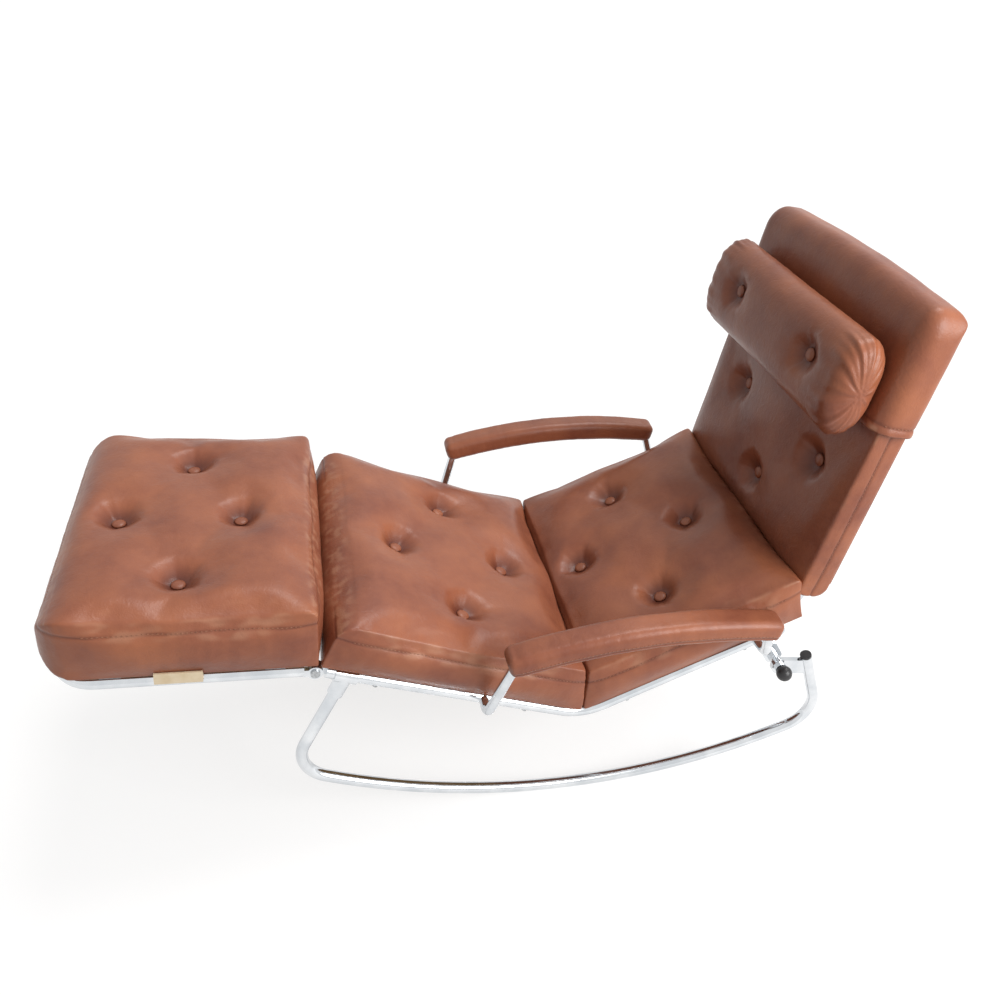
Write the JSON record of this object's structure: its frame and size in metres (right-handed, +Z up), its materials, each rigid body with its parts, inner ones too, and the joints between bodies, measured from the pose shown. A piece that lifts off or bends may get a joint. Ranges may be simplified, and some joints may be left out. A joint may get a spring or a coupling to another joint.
{
  "type": "rocking lounge chair",
  "caption": "Low rocking lounge chair: bent chrome tube on curved runners, tufted leather cushions, fold-down footrest, reclining back and sliding headrest hood with bolster.",
  "frame": {"origin": "on the floor, under the middle of the chair's length and on its centre plane", "axes": "+X along the chair towards the head end, +Y across it towards the sitter's left, +Z up"},
  "size_m": [1.441, 0.722, 0.9982],
  "materials": {
    "brown_leather": "satin",
    "foam": "matte",
    "plywood": "matte",
    "chrome_tube": "polished",
    "steel": "satin",
    "black_plastic": "satin",
    "cream_nylon": "satin"
  },
  "bodies": {
    "chassis": {"rocker_left": "chrome_tube", "rocker_right": "chrome_tube", "tee_clamps": "chrome_tube", "tee_screws": "steel", "rear_cross_bar": "chrome_tube", "bar_balls": "black_plastic", "bar_brackets": "chrome_tube", "upright_caps": "black_plastic", "lug_plates": "chrome_tube", "seat_rail_left": "chrome_tube", "seat_rail_right": "chrome_tube", "front_cross_tube": "chrome_tube", "middle_cross_tube": "chrome_tube", "hinge_tube": "chrome_tube", "knee_knuckles": "chrome_tube", "arm_tube_left": "chrome_tube", "arm_tube_right": "chrome_tube", "arm_cover_left": "brown_leather", "arm_cover_right": "brown_leather", "arm_foam_left": "foam", "arm_foam_right": "foam", "leg_cover": "brown_leather", "leg_foam": "foam", "leg_board": "plywood", "leg_buttons": "brown_leather", "leg_screws": "steel", "seat_cover": "brown_leather", "seat_foam": "foam", "seat_board": "plywood", "seat_buttons": "brown_leather", "seat_screws": "steel"},
    "footrest": {"footrest_tube": "chrome_tube", "footrest_knuckles": "chrome_tube", "knee_pins": "steel", "footrest_straps": "steel", "footrest_clips": "cream_nylon", "footrest_cover": "brown_leather", "footrest_foam": "foam", "footrest_board": "plywood", "footrest_buttons": "brown_leather"},
    "back": {"back_frame": "chrome_tube", "hinge_sleeves": "steel", "back_cover": "brown_leather", "back_foam": "foam", "back_board": "plywood", "back_buttons": "brown_leather", "back_screws": "steel"},
    "headrest": {"headrest_hood": "brown_leather", "bolster_cover": "brown_leather", "bolster_fill": "foam", "bolster_buttons": "brown_leather"}
  },
  "joints": [
    {"name": "footrest_fold", "type": "hinge", "parent": "chassis", "child": "footrest", "pos_m": [-0.29954, 0, 0.396], "axis": [0, -1, 0], "range_deg": [0, 65]},
    {"name": "back_recline", "type": "hinge", "parent": "chassis", "child": "back", "pos_m": [0.55278, 0, 0.36167], "axis": [0, 1, 0], "range_deg": [0, 32]},
    {"name": "headrest_slide", "type": "slide", "parent": "back", "child": "headrest", "axis": [0.1736, 0, 0.9848], "range_m": [0, 0.06]}
  ]
}
